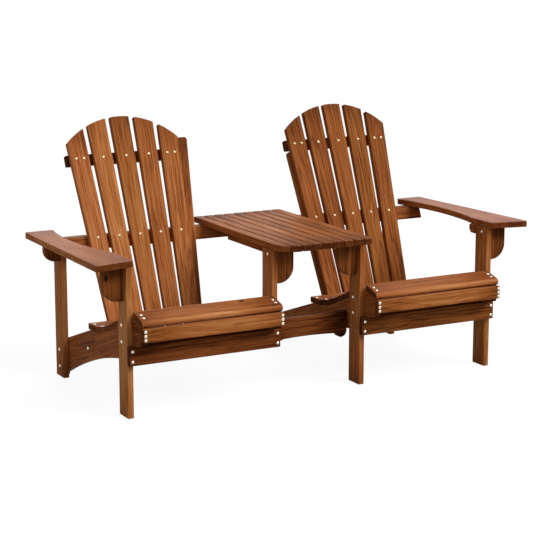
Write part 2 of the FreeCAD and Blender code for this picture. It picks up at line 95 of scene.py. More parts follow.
print("the middle of the stain, linear:", [round(c, 3) for c in paint("#9A592B")])

# %% [markdown]
# The timber is plain-sawn softwood with a brown stain and a thin satin oil. To the eye it is a warm brown
# with darker arches and streaks, and it has only a faint shine. Sawing a board cuts through the tree's
# rings, so the figure is worked out in the board's own directions, in millimetres: along the grain, across
# its width and through its thickness. One node group holds all of it, so every board shares the same
# timber. It is built in steps, and each step is one thing that the eye finds in real softwood. A photograph
# of wood laid on each board would be quicker, but it would repeat from slat to slat, and its end grain
# would be wrong.

# %% Small steps for the timber's figure
def maths(tree, operation, *values, clamp=False):
    """One Math node on values or outputs."""
    return add(tree, "ShaderNodeMath", dict(enumerate(values)), operation=operation,
               use_clamp=clamp).outputs[0]


def along_grain(tree, board, length, width):
    """Board coordinates divided by a feature's length along the grain and its width across it."""
    return add(tree, "ShaderNodeVectorMath", {0: board, 1: (1 / length, 1 / width, 1 / width)},
               operation="MULTIPLY").outputs["Vector"]


def grain_noise(tree, board, length, width, detail, roughness):
    """Soft noise around 0.5 whose patches are drawn out along the grain to a real length and width in mm."""
    return add(tree, "ShaderNodeTexNoise", {"Vector": along_grain(tree, board, length, width), "Scale": 1.0,
                                            "Detail": detail, "Roughness": roughness})


def fade(tree, value, start, end, low=0.0, high=1.0):
    """Smooth step of value between start and end, from low to high."""
    return add(tree, "ShaderNodeMapRange", {"Value": value, "From Min": start, "From Max": end,
                                            "To Min": low, "To Max": high},
               interpolation_type="SMOOTHSTEP").outputs["Result"]


def weighted_sum(tree, values, shares):
    """Sum of (value - middle) * share; shares has a middle and a share for each of the values that counts."""
    total = 0.0
    for name, (middle, share) in shares.items():
        part = maths(tree, "MULTIPLY", maths(tree, "SUBTRACT", values[name], middle), share)
        total = maths(tree, "ADD", total, part)
    return total


steps = (maths, along_grain, grain_noise, fade, weighted_sum)
print("steps for the timber:", [step.__name__ for step in steps])

# %% [markdown]
# Knots are branches that the saw cut through. Each is a small dark ellipse, slightly drawn out along the
# grain, and the rings bend round it. Cells of a Voronoi pattern over the board's face place them, and only
# the few cells whose random colour is low enough have one, because boards for a garden bench are picked
# almost clear.

# %% Knots
KNOT_CELL = (300.0, 120.0)
KNOT_RADIUS = 6.5
KNOT_DRAWN_OUT = 1.7
KNOT_SHARE = 0.05
KNOT_SCATTER = 0.9
# In knot radii: where its soft rim starts and ends, and how far off the rings begin to bend
KNOT_RIM = (1.15, 0.75)
KNOT_REACH = 4.5
KNOT_PUSH = 7.0


def knots(tree, board):
    """Two outputs: how much a point belongs to a knot, and how far in mm the rings are pushed aside there."""
    length, width = KNOT_CELL
    cell = along_grain(tree, board, length, width)
    found = add(tree, "ShaderNodeTexVoronoi", {"Vector": cell, "Scale": 1.0, "Randomness": KNOT_SCATTER},
                voronoi_dimensions="2D")
    away = add(tree, "ShaderNodeVectorMath", {0: cell, 1: found.outputs["Position"]}, operation="SUBTRACT")
    in_radii = (length / KNOT_DRAWN_OUT / KNOT_RADIUS, width / KNOT_RADIUS, 0.0)
    away = add(tree, "ShaderNodeVectorMath", {0: away.outputs["Vector"], 1: in_radii}, operation="MULTIPLY")
    away = add(tree, "ShaderNodeVectorMath", {0: away.outputs["Vector"]}, operation="LENGTH").outputs["Value"]
    chosen = add(tree, "ShaderNodeSeparateColor", {0: found.outputs["Color"]}).outputs["Red"]
    chosen = maths(tree, "LESS_THAN", chosen, KNOT_SHARE)
    core = maths(tree, "MULTIPLY", fade(tree, away, *KNOT_RIM), chosen)
    push = maths(tree, "MULTIPLY", fade(tree, away, KNOT_REACH, 0.0, 0.0, KNOT_PUSH), chosen)
    return core, push


print("a knot is", 2 * KNOT_RADIUS, "mm wide")

# %% [markdown]
# Growth rings are cylinders round the pith, which lies a few centimetres under the board. The tree tapers
# and sways, so the board's face cuts the rings in long arches, and nearer the board's edges in straight
# lines. A ring grows slowly darker from spring to summer and then starts again at once: the curve below is
# that profile. The rings are drawn 4.2 mm apart, which is a little coarse for pine, so that they still show
# from across a garden.

# %% Growth rings
RING_SPACING = 4.2
TREE_TAPER = 0.012
# Length along the grain, width across it and size of each bend, in mm
SWAY = (560.0, 150.0, 28.0)
WOBBLE = (95.0, 26.0, 3.5)
BEND_DETAIL = 1.0
BEND_ROUGHNESS = 0.5
RING_PROFILE = ((0.0, 0.80), (0.09, 0.10), (0.40, 0.12), (0.70, 0.45), (0.90, 1.0), (1.0, 0.95))


def bent_tree(tree, board):
    """Board coordinates moved aside by two soft noises, the tree's sway and its wobble."""
    moved = board
    for length, width, size in (SWAY, WOBBLE):
        noise = grain_noise(tree, board, length, width, BEND_DETAIL, BEND_ROUGHNESS)
        shift = add(tree, "ShaderNodeVectorMath", {0: noise.outputs["Color"], 1: (0.5, 0.5, 0.5)},
                    operation="SUBTRACT").outputs["Vector"]
        shift = add(tree, "ShaderNodeVectorMath", {0: shift, 1: (0.0, size, size)},
                    operation="MULTIPLY").outputs["Vector"]
        moved = add(tree, "ShaderNodeVectorMath", {0: moved, 1: shift}, operation="ADD").outputs["Vector"]
    return moved


def growth_rings(tree, board, bent, push):
    """Latewood share, 0 to 1: the ring profile of (distance from the pith + taper * x + push) / spacing."""
    section = add(tree, "ShaderNodeVectorMath", {0: bent, 1: (0.0, 1.0, 1.0)}, operation="MULTIPLY")
    section = section.outputs["Vector"]
    radius = add(tree, "ShaderNodeVectorMath", {0: section}, operation="LENGTH").outputs["Value"]
    height = add(tree, "ShaderNodeSeparateXYZ", {0: board}).outputs["X"]
    radius = maths(tree, "ADD", maths(tree, "MULTIPLY_ADD", height, TREE_TAPER, radius), push)
    ring = maths(tree, "FRACT", maths(tree, "DIVIDE", radius, RING_SPACING))
    profile = add(tree, "ShaderNodeFloatCurve", {"Value": ring})
    points = profile.mapping.curves[0].points
    points[0].location, points[1].location = RING_PROFILE[0], RING_PROFILE[-1]
    for place in RING_PROFILE[1:-1]:
        points.new(*place)
    profile.mapping.update()
    return profile.outputs["Value"]


print("rings", RING_SPACING, "mm apart")

# %% [markdown]
# Stain shows what the wood takes up: long streaks where it soaked in, thin dark lines of resin, fine
# fibres, short dark dashes and slow blotches. Each is a soft noise with the length and the width of the
# real mark in millimetres. Streaks and lines bend with the tree, and fibres and dashes run straight. The
# fibres are drawn coarser than real ones, which would be too fine to show. Lines and dashes keep only the
# peaks of their noise.

# %% Marks of the stain
# Length along the grain and width across it in mm, then the detail and roughness of the noise
STREAKS = (620.0, 8.0, 3.0, 0.55)
FINE_STREAKS = (240.0, 3.0, 3.0, 0.6)
RESIN_LINES = (190.0, 3.0, 1.0, 0.5)
FIBRES = (46.0, 0.9, 2.0, 0.6)
DASHES = (16.0, 0.7, 1.0, 0.5)
BLOTCHES = (260.0, 60.0, 2.0, 0.5)
# The peaks of the noise that a line or a dash keeps: where it starts and where it is full
RESIN_LINE_PEAKS = (0.56, 0.70)
DASH_PEAKS = (0.64, 0.78)


def stain_marks(tree, board, bent):
    """Outputs of the marks by name, each between 0 and 1."""
    return {
        "streak": grain_noise(tree, bent, *STREAKS).outputs["Fac"],
        "fine streak": grain_noise(tree, bent, *FINE_STREAKS).outputs["Fac"],
        "resin line": fade(tree, grain_noise(tree, bent, *RESIN_LINES).outputs["Fac"], *RESIN_LINE_PEAKS),
        "fibre": grain_noise(tree, board, *FIBRES).outputs["Fac"],
        "dash": fade(tree, grain_noise(tree, board, *DASHES).outputs["Fac"], *DASH_PEAKS),
        "blotch": grain_noise(tree, board, *BLOTCHES).outputs["Fac"],
    }


print("a long streak is", STREAKS[0], "mm long and", STREAKS[1], "mm wide")

# %% [markdown]
# All the marks add to one tone, and a ramp from pale to dark stain turns the tone into colour. The tables
# below say for each mark at which value it changes nothing, and how much it darkens, roughens or raises the
# wood. The ends of a board and its sawn end grain drink more stain. Rounded edges are paler, partly where
# hands and weather wore it thin and partly a painted highlight. Faces that point up, most of all on the arms
# and a trace on the table and the seats, turn towards a pale greyed pink: partly the stain bleached by sun
# and rain, partly a painted sheen.

# %% The figure of stained softwood
STAIN = ((0.0, "#CE9866"), (0.26, "#B57745"), (0.5, "#9A592B"), (0.74, "#75401D"), (1.0, "#411D0B"))
KNOT_STAIN = "#3A1B0C"
# Pale greyed pink for faces that point up: partly bleached stain, partly a painted sheen
BLEACH_AND_SHEEN_COLOUR = "#B29893"
SATIN = 0.52
# The edge share lightens the rounded edges and the nose slats' fronts: partly wear, partly a painted
# highlight
DARKENS = {"latewood": (0.4, 0.15), "streak": (0.5, 0.6), "fine streak": (0.5, 0.68),
           "resin line": (0.15, 0.22), "fibre": (0.5, 0.32), "dash": (0.05, 0.2), "blotch": (0.5, 0.4),
           "Board end": (0.0, 0.17), "End grain": (0.0, 0.2), "Edge": (0.0, -0.22), "Tone": (-0.5, 1.0)}
ROUGHENS = {"fine streak": (0.5, 0.3), "latewood": (0.4, -0.06), "knot": (0.0, -0.1),
            "End grain": (0.0, 0.15)}
RAISES = {"latewood": (0.0, 0.35), "fine streak": (0.0, 0.7), "fibre": (0.0, 0.4), "dash": (0.0, -0.3),
          "knot": (0.0, 0.5)}


def softwood_figure():
    """Node group: board coordinates in mm, then what darkens, warms, wears or bleaches the stain there, with
    painted highlight and sheen.
    """
    tree = bpy.data.node_groups.new("stained_softwood_figure", "ShaderNodeTree")
    tree.interface.new_socket("Board", in_out="INPUT", socket_type="NodeSocketVector")
    for name in ("Tone", "Warmth", "End grain", "Edge", "Board end", "Bleach"):
        tree.interface.new_socket(name, in_out="INPUT", socket_type="NodeSocketFloat")
    tree.interface.new_socket("Color", in_out="OUTPUT", socket_type="NodeSocketColor")
    for name in ("Roughness", "Height"):
        tree.interface.new_socket(name, in_out="OUTPUT", socket_type="NodeSocketFloat")
    given = add(tree, "NodeGroupInput").outputs
    board = given["Board"]
    knot, push = knots(tree, board)
    bent = bent_tree(tree, board)
    values = {name: given[name] for name in ("Tone", "End grain", "Edge", "Board end")}
    values |= stain_marks(tree, board, bent)
    values |= {"knot": knot, "latewood": growth_rings(tree, board, bent, push)}
    stain = ramp(tree, weighted_sum(tree, values, DARKENS), *STAIN)
    hue = maths(tree, "ADD", 0.5, given["Warmth"])
    colour = add(tree, "ShaderNodeHueSaturation", {"Color": stain, "Hue": hue}).outputs["Color"]
    # Mixes in the pale greyed pink of the tops, partly bleaching and partly a painted sheen, then the knots
    for share, other in ((given["Bleach"], BLEACH_AND_SHEEN_COLOUR), (knot, KNOT_STAIN)):
        colour = add(tree, "ShaderNodeMix", {"Factor": share, "A": colour, "B": paint(other)},
                     data_type="RGBA").outputs["Result"]
    rough = maths(tree, "ADD", SATIN, weighted_sum(tree, values, ROUGHENS), clamp=True)
    height = weighted_sum(tree, values, RAISES)
    add(tree, "NodeGroupOutput", {"Color": colour, "Roughness": rough, "Height": height})
    return tree


FIGURE = softwood_figure()
print("figure group:", len(FIGURE.nodes), "nodes")

# %% [markdown]
# Each board takes its own cut of that timber. The grain of a sawn board runs along its length, so the
# directions are the principal axes of the board's surface, longest first. Short pieces cut from a wide
# board, such as brackets, are almost as wide as they are long, so their grain follows the sides of their
# box instead.

# %% Directions of a board
BOXED = ("bracket", "cleat", "block")


def points_and_triangles(mesh):
    """Places of a mesh's points, and the numbers of the three points of each triangle."""
    place = np.empty(len(mesh.vertices) * 3)
    mesh.vertices.foreach_get("co", place)
    corner = np.empty(len(mesh.loops), int)
    mesh.loops.foreach_get("vertex_index", corner)
    return place.reshape(-1, 3), corner.reshape(-1, 3)


def box_axes(piece):
    """Directions of a piece's box sides, longest first."""
    corners = np.array([corner[:] for corner in piece.bound_box])
    order = np.argsort(-np.ptp(corners, axis=0))
    axes = np.eye(3)[order]
    axes[2] = np.cross(axes[0], axes[1])
    return corners.mean(axis=0), axes


def board_axes(piece):
    """
    Centre and principal axes of a piece's surface: the eigenvectors of the sum over its triangles of
    area * (a a' + b b' + c c' + s s'). There a, b and c are a triangle's corners, seen from the centre, and
    s is their sum.
    """
    place, corner = points_and_triangles(piece.data)
    corners = place[corner]
    area = np.linalg.norm(np.cross(corners[:, 1] - corners[:, 0], corners[:, 2] - corners[:, 0]), axis=1)
    middle = np.average(corners.mean(axis=1), axis=0, weights=area)
    corners = corners - middle
    total = corners.sum(axis=1)
    spread = np.einsum("t,tki,tkj->ij", area, corners, corners)
    spread = spread + np.einsum("t,ti,tj->ij", area, total, total)
    axes = np.linalg.eigh(spread)[1].T[::-1]
    axes = axes * np.where(axes.sum(axis=1) < 0, -1.0, 1.0)[:, None]
    axes[2] = np.cross(axes[0], axes[1])
    return middle, axes


def grain_axes(piece):
    """Box directions for short pieces, principal axes for boards."""
    return box_axes(piece) if piece.name.endswith(BOXED) else board_axes(piece)


for name in ("left_back_slat_3", "left_seat_slats", "table_slats"):
    print("grain of", name, "runs along", np.round(grain_axes(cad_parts[name])[1][0], 3))

# %% [markdown]
# A seeded draw says how far along the tree each board was cut, where the pith lay, how deeply the stain
# took and how warm it came out. The table's slats are one piece of the frame, and so are each chair's seat
# slats. There a count of board widths across the group tells the boards apart, and each count has its own
# random place in the tree.

# %% Where each board was cut
# Millimetres in a metre
MM = 1000.0
# Along the tree, beside the pith and above it, in mm: the first place of a cut, and the last or the span
CUT_FIRST = (0.0, -45.0, 40.0)
CUT_LAST = (4000.0, 45.0, 120.0)
GROUP_CUT_FIRST = (0.0, 0.0, 45.0)
GROUP_CUT_SPAN = (4000.0, 60.0, 70.0)
TONE_SPREAD = 0.07
GROUP_TONE_SPREAD = 0.091
WARMTH_SPREAD = 0.0018
# Each group counts its boards from a random number below this
GROUP_SEEDS = 1000.0
SEED = 11
draw = np.random.default_rng(SEED)


def board_coordinates(tree, middle, axes):
    """Object coordinates in mm from the board's middle, turned so that X runs along its grain."""
    turn = Matrix(axes.tolist())
    place = add(tree, "ShaderNodeTexCoord").outputs["Object"]
    return add(tree, "ShaderNodeMapping", {
        "Vector": place, "Location": -(turn @ Vector(middle)) * MM, "Rotation": turn.to_euler(),
        "Scale": (MM, MM, MM)}).outputs["Vector"]


def grouped_boards(tree, board, boards, width):
    """Coordinates, tone and warmth for like boards side by side: a new draw for each board's count."""
    apart = add(tree, "ShaderNodeSeparateXYZ", {0: board}).outputs
    count = maths(tree, "FLOOR", maths(tree, "MULTIPLY_ADD", apart["Y"], boards / width, boards / 2))
    seed = float(draw.uniform(0, GROUP_SEEDS))
    chance = add(tree, "ShaderNodeTexWhiteNoise", {"W": maths(tree, "ADD", count, seed)},
                 noise_dimensions="1D")
    beside = maths(tree, "SUBTRACT", count, boards / 2 - 0.5)
    beside = maths(tree, "MULTIPLY_ADD", beside, -width / boards, apart["Y"])
    own = add(tree, "ShaderNodeCombineXYZ", {"X": apart["X"], "Y": beside, "Z": apart["Z"]}).outputs["Vector"]
    own = add(tree, "ShaderNodeVectorMath", {0: own, 1: GROUP_CUT_FIRST}, operation="ADD").outputs["Vector"]
    own = add(tree, "ShaderNodeVectorMath", {0: chance.outputs["Color"], 1: GROUP_CUT_SPAN, 2: own},
              operation="MULTIPLY_ADD").outputs["Vector"]
    tone = maths(tree, "MULTIPLY_ADD", chance.outputs["Value"], 2 * GROUP_TONE_SPREAD, -GROUP_TONE_SPREAD)
    red = add(tree, "ShaderNodeSeparateColor", {0: chance.outputs["Color"]}).outputs["Red"]
    return own, tone, maths(tree, "MULTIPLY_ADD", red, 2 * WARMTH_SPREAD, -WARMTH_SPREAD)


print("a board comes from somewhere in", CUT_LAST[0] / MM, "m of trunk")

# %% [markdown]
# The same timber looks different where it was sawn across, soaked, worn or bleached, and all four can be
# read from the shape: end grain faces along the board, the soaked ends lie far from its middle, a worn edge
# is where the smoothed normal leaves the face's own, and what is bleached faces up. The paler edges are
# partly wear and partly a painted highlight, and the pale tops partly bleaching and partly a painted sheen.
# The round fronts of the nose slats are painted paler where they face forward: a painted highlight.

# %% Sawn, soaked, worn and bleached places, with painted highlight and sheen
END_SOAK = 150.0
EDGE_PROBE_RADIUS = 0.003
EDGE_PROBE_SAMPLES = 4
NOSE = "nose_slat"
# How much paler the forward-facing fronts of the nose slats are painted: a painted highlight
PAINTED_NOSE_HIGHLIGHT = 0.9
# How pale the up-facing faces turn: partly bleached stain, partly a painted sheen
BLEACH_AND_SHEEN = {"arm": 0.25, NOSE: 0.0}
LEAST_BLEACH_AND_SHEEN = 0.05
# Where each share starts and where it is full, by how far the face's normal points along the grain, along the
# smoothed normal, ahead and up
SAWN_ACROSS = (0.75, 0.97)
AT_EDGE = (0.985, 0.88)
FACING_AHEAD = (0.22, 0.75)
FACING_UP = (0.6, 0.97)


def exposed_places(tree, piece, grain, board, length):
    """Outputs from 0 to about 1 for the figure's sockets that follow the piece's shape."""
    from_middle = maths(tree, "ABSOLUTE", add(tree, "ShaderNodeSeparateXYZ", {0: board}).outputs["X"])
    facing = add(tree, "ShaderNodeNewGeometry").outputs["Normal"]
    apart = add(tree, "ShaderNodeSeparateXYZ", {0: facing}).outputs
    end = add(tree, "ShaderNodeVectorMath", {0: facing, 1: grain}, operation="DOT_PRODUCT").outputs["Value"]
    # Paler edges where the smoothed normal leaves the face's own: partly wear, partly a painted highlight
    eased = add(tree, "ShaderNodeBevel", {"Radius": EDGE_PROBE_RADIUS}, samples=EDGE_PROBE_SAMPLES).outputs["Normal"]
    wear_and_highlight = add(tree, "ShaderNodeVectorMath", {0: facing, 1: eased}, operation="DOT_PRODUCT").outputs["Value"]
    wear_and_highlight = fade(tree, wear_and_highlight, *AT_EDGE)
    # The nose slats' forward-facing fronts get a painted highlight, carried with the edges
    if piece.name.endswith(NOSE):
        ahead = maths(tree, "MULTIPLY", apart["Y"], -1.0)
        wear_and_highlight = maths(tree, "MAXIMUM", wear_and_highlight, fade(tree, ahead, *FACING_AHEAD, 0.0, PAINTED_NOSE_HIGHLIGHT))
    # Up-facing faces turn pale greyed pink: partly bleaching, partly a painted sheen
    bleach_and_sheen = max([share for key, share in BLEACH_AND_SHEEN.items() if piece.name.endswith(key)], default=LEAST_BLEACH_AND_SHEEN)
    return {
        "Board end": fade(tree, from_middle, max(0.0, length / 2 - END_SOAK), length / 2),
        "End grain": fade(tree, maths(tree, "ABSOLUTE", end), *SAWN_ACROSS),
        "Edge": wear_and_highlight,
        "Bleach": fade(tree, apart["Z"], *FACING_UP, 0.0, bleach_and_sheen),
    }


print("the ends of a board are soaked for", END_SOAK, "mm")

# %% [markdown]
# A few boards are set darker or paler: the legs are paler, and one chair's back is a shade deeper than the
# other's. Some of these tones are painted shade: the rails behind the back slats are darkened for the shade
# between the slats, and the blocks, brackets, cleats, apron, stretcher and stringers partly for their own
# darker stain and partly for the shade under the arms, the table and the seat's front. A table of words
# gives whole families of boards one tone, and a longer word in it sets a single board right.

# %% Darker and paler boards, and painted shade
# The shares for rail are painted shade; those for block, bracket, cleat, apron, stretcher and stringer are
# partly painted shade
TONE_AND_PAINTED_SHADE = {"bracket": 0.17, "block": 0.17, "stringer": 0.15, "right_inner_stringer": -0.15, "cleat": 0.1,
          "stretcher": 0.24, "back_beam": 0.12, "stile": 0.1, "rail": 0.36, "left_back_slat_5": 0.09,
          "right_back_slat": 0.17, "right_back_slat_2": 0.06, "right_back_slat_3": -0.08, "apron": 0.16,
          "left_front_slat": 0.1, "right_front_slat": -0.02, "nose": 0.05, "rear_post": -0.08,
          "left_outer_front_leg": -0.21, "left_inner_front_leg": -0.18, "right_inner_front_leg": -0.1,
          "right_outer_front_leg": -0.1}


def tone_and_painted_shade(name):
    """Sum of the shares of all the words that a piece's name holds."""
    return sum(share for word, share in TONE_AND_PAINTED_SHADE.items() if word in name)


print("darkest by choice:", max(sorted(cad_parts), key=tone_and_painted_shade))

# %% [markdown]
# Each board now gets its own material: its own cut, tone, worn places and painted highlight, sheen and
# shade, all fed to the one shared figure. The oil was wiped on thin and has almost dried away, so the
# specular level is far under a varnish's, and the grain keeps a slight relief. Only the nose slats shine a
# little more.

# %% One material for each board
GRAIN_RELIEF = 0.0004
RELIEF_STRENGTH = 0.8
OIL_IOR = 1.45
OILED = 0.02
POLISHED = 0.08


def stained_softwood(piece, boards=1):
    """Material for one CAD piece, or for a group of that many like boards that lie side by side."""
    middle, axes = grain_axes(piece)
    place = points_and_triangles(piece.data)[0]
    length, width = (float(np.ptp(place @ axis)) * MM for axis in axes[:2])
    cut = draw.uniform(CUT_FIRST, CUT_LAST).tolist()
    tone, warmth = draw.normal(0.0, (TONE_SPREAD, WARMTH_SPREAD)).tolist()
    tone += tone_and_painted_shade(piece.name)
    material = bpy.data.materials.new("stained_softwood_" + piece.name)
    material.use_nodes = True
    tree = material.node_tree
    centred = board_coordinates(tree, middle, axes)
    if boards > 1:
        board, shift, warmth = grouped_boards(tree, centred, boards, width)
        tone = maths(tree, "ADD", shift, tone)
    else:
        board = add(tree, "ShaderNodeVectorMath", {0: centred, 1: cut}, operation="ADD").outputs["Vector"]
    exposed = exposed_places(tree, piece, axes[0].tolist(), centred, length)
    figure = add(tree, "ShaderNodeGroup", {"Board": board, "Tone": tone, "Warmth": warmth, **exposed},
                 node_tree=FIGURE).outputs
    relief = add(tree, "ShaderNodeBump", {"Height": figure["Height"], "Distance": GRAIN_RELIEF,
                                          "Strength": RELIEF_STRENGTH}).outputs["Normal"]
    shader = tree.nodes["Principled BSDF"]
    tree.links.new(figure["Color"], shader.inputs["Base Color"])
    tree.links.new(figure["Roughness"], shader.inputs["Roughness"])
    tree.links.new(relief, shader.inputs["Normal"])
    shader.inputs["IOR"].default_value = OIL_IOR
    shader.inputs["Specular IOR Level"].default_value = POLISHED if piece.name.endswith(NOSE) else OILED
    return material


print("relief of the grain:", GRAIN_RELIEF * MM, "mm")

# %% [markdown]
# Every board of the frame is stained in the order of the names, so the seeded draw gives each the same
# timber on every run. The screws are left for later. Three pieces are groups of boards, and the number of
# boards in each says how the group is divided.

# %% Stain all the boards
GROUPED = {"table_slats": 9, "left_seat_slats": 6, "right_seat_slats": 6}
boards = [name for name in sorted(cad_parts) if not name.endswith("screws")]
for name in boards:
    finish_with(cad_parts[name], stained_softwood(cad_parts[name], GROUPED.get(name, 1)))
print("boards stained:", len(boards))

# %% [markdown]
# The screws are zinc-plated pan heads with a cross recess. Their places are read back from the plain screws
# of the frame: each screw is an island of triangles, its long direction is the main direction of its
# points, and the wider end is the head. Labels that spread along the triangles until nothing changes find
# the islands, so no screw has to be listed here.

# %% Places of the screws
# In metres: points that agree to this many digits are one, and points this close in height are on one rim
SAME_DIGITS = 6
SAME_LEVEL = 0.0001


def islands(piece):
    """Points of each loose part of a mesh, as parts x points x 3; every part here has as many points."""
    place, corner = points_and_triangles(piece.data)
    place, same = np.unique(np.round(place, SAME_DIGITS), axis=0, return_inverse=True)
    triangle = same.reshape(-1)[corner]
    label = np.arange(len(place))
    settled = False
    while not settled:
        before = label.copy()
        for side in range(3):
            np.minimum.at(label, triangle[:, side], before[triangle].min(axis=1))
        label = label[label]
        settled = np.array_equal(label, before)
    parts = len(np.unique(label))
    return place[np.argsort(label, kind="stable")].reshape(parts, -1, 3)


def screw_places(piece):
    """Head centre on the wood, outward direction, head radius, head height and shank length of each screw."""
    points = islands(piece)
    local = points - points.mean(axis=1, keepdims=True)
    axis = np.linalg.eigh(np.einsum("spi,spj->sij", local, local))[1][:, :, 2]
    along = np.einsum("spi,si->sp", local, axis)
    aside = np.linalg.norm(local - along[:, :, None] * axis[:, None, :], axis=2)
    widest = np.take_along_axis(along, aside.argmax(axis=1)[:, None], axis=1)
    flip = np.sign(widest)
    axis, along, widest = axis * flip, along * flip, np.abs(widest)
    rim = np.abs(along - widest) < SAME_LEVEL
    centre = (points * rim[:, :, None]).sum(axis=1) / rim.sum(axis=1)[:, None]
    height = along.max(axis=1) - widest[:, 0]
    shank = widest[:, 0] - along.min(axis=1)
    return centre, axis, aside.max(axis=1), height, shank


for name in ("back_screws", "seat_screws"):
    found = screw_places(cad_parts[name])
    print(name, len(found[0]), "heads; radius, height, shank in mm:",
          [sorted(set(np.round(found[k] * MM, 1).tolist())) for k in (2, 3, 4)])

# %% [markdown]
# A pan head has an upright rim, a low dome and a cross recess. The shape is a stack of rings with the same
# number of points, joined by quads: circles for the shank, rim and dome, then a cross outline at the top
# and a smaller one at the recess's floor. Six points for each quarter turn are enough for both the circle
# and the cross. Cutting the cross out of a dome with a Boolean would give the same look, but with far more
# faces on each of the many screws.

# %% Shape of one screw
# Radius and height of each ring in head radii and head heights, from the wood up
HEAD_RINGS = ((1.0, 0.0), (1.0, 0.20), (0.95, 0.46), (0.81, 0.74), (0.64, 0.92))
# The shank's radius over the head's, in mm
SHANK_SHARE = 2.2 / 5.2
# Reach and height of the cross outline, and half the width of its arms
RECESS = ((0.54, 0.98, 0.115), (0.40, 0.30, 0.07))
RECESS_FLOOR = 0.22
AROUND = 24


def cross_outline(reach, half_width):
    """Points round a cross: per quarter the arm's end, corner and side, the inner corner, the next side."""
    side = (reach + half_width) / 2
    quarter = np.array([(reach, 0), (reach, half_width), (side, half_width), (half_width, half_width),
                        (half_width, side), (half_width, reach)])
    turns = [quarter @ np.array([(math.cos(a), math.sin(a)), (-math.sin(a), math.cos(a))])
             for a in np.arange(4) * math.pi / 2]
    return np.concatenate(turns)


def screw_rings():
    """Rings x points x 3, in head radii and heights; the first two are the shank's, both at the wood."""
    angle = np.arange(AROUND) * 2 * math.pi / AROUND
    circle = np.stack([np.cos(angle), np.sin(angle)], axis=1)
    rings = [(circle * SHANK_SHARE, 0.0), (circle * SHANK_SHARE, 0.0)]
    rings += [(circle * share, height) for share, height in HEAD_RINGS]
    rings += [(cross_outline(reach, half), height) for reach, height, half in RECESS]
    return np.stack([np.column_stack([outline, np.full(AROUND, height)]) for outline, height in rings])


def screw_faces(levels):
    """Quads between neighbouring rings, and the two fans that close the shank's end and the recess."""
    step = np.arange(AROUND)
    ahead = (step + 1) % AROUND
    low = np.arange(levels - 1)[:, None] * AROUND
    quads = np.stack([low + step, low + ahead, low + AROUND + ahead, low + AROUND + step], axis=2)
    top = (levels - 1) * AROUND
    shank_end = np.stack([ahead, step, np.full(AROUND, levels * AROUND)], axis=1)
    recess = np.stack([top + step, top + ahead, np.full(AROUND, levels * AROUND + 1)], axis=1)
    return quads.reshape(-1, 4), np.concatenate([shank_end, recess])


print("faces of one screw:", sum(len(faces) for faces in screw_faces(len(screw_rings()))))

# %% [markdown]
# All the screws of a group are one mesh. The one shape is scaled to each head, turned to its direction and
# moved to its place as a single array product. Each screw is also spun by its own random angle, because
# nobody drives every screw home with its cross upright.

# %% The screws in their places
NEARLY_UPRIGHT = 0.9


def across_and_aside(axis):
    """Two directions square to each screw's axis and to each other."""
    upright = np.abs(axis[:, 2:]) > NEARLY_UPRIGHT
    across = np.cross(np.where(upright, [[1.0, 0.0, 0.0]], [[0.0, 0.0, 1.0]]), axis)
    across /= np.linalg.norm(across, axis=1, keepdims=True)
    return across, np.cross(axis, across)


def pan_head_screws(name):
    """One mesh for a group: centre + shape @ (spun across * radius, spun aside * radius, axis * height)."""
    centre, axis, radius, height, shank = screw_places(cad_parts[name])
    rings = screw_rings()
    shape = np.concatenate([rings.reshape(-1, 3), [(0.0, 0.0, 0.0), (0.0, 0.0, RECESS_FLOOR)]])
    spin = np.random.default_rng(len(name)).uniform(0, math.pi / 2, len(centre))[:, None]
    across, aside = across_and_aside(axis)
    across = np.cos(spin) * across + np.sin(spin) * aside
    aside = np.cross(axis, across)
    basis = np.stack([across * radius[:, None], aside * radius[:, None], axis * height[:, None]], axis=1)
    points = centre[:, None, :] + shape @ basis
    shank_end = np.r_[0:AROUND, len(rings) * AROUND]
    points[:, shank_end] -= (axis * shank[:, None])[:, None, :]
    own = np.arange(len(centre))[:, None, None] * len(shape)
    quads, fans = screw_faces(len(rings))
    faces = (quads + own).reshape(-1, 4).tolist() + (fans + own).reshape(-1, 3).tolist()
    mesh = bpy.data.meshes.new(name + "_pan_heads")
    mesh.from_pydata(points.reshape(-1, 3).tolist(), [], faces)
    piece = bpy.data.objects.new(name + "_pan_heads", mesh)
    bpy.context.scene.collection.objects.link(piece)
    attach(piece, "root")
    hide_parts(name)
    return piece


SCREWS = [pan_head_screws(name) for name in sorted(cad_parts) if name.endswith("screws")]
print("screws:", [(piece.name, len(piece.data.polygons)) for piece in SCREWS])

# %% [markdown]
# Zinc plate is a bright, slightly warm white metal, and a little cloudy. The screws in the backs were
# dipped in a yellow passivation after plating, and the weather has dulled them to a straw colour. Both are
# one metal shader with a soft cloud in its colour and its roughness, so the heads don't all look like drops
# of chrome.

# %% Zinc-plated steel
# Width of a cloud in mm, the share of its noise that reaches the roughness, and where it is dull and bright
CLOUD = 2.5
CLOUDINESS = 0.2
CLOUD_STOPS = (0.3, 0.7)
CLOUD_DETAIL = 2.0
PLATED = 0.9
# Dull colour, bright colour and roughness
ZINC = ("#D2CCBE", "#F6F0E2", 0.2)
PASSIVATED = ("#978868", "#D2C29C", 0.32)


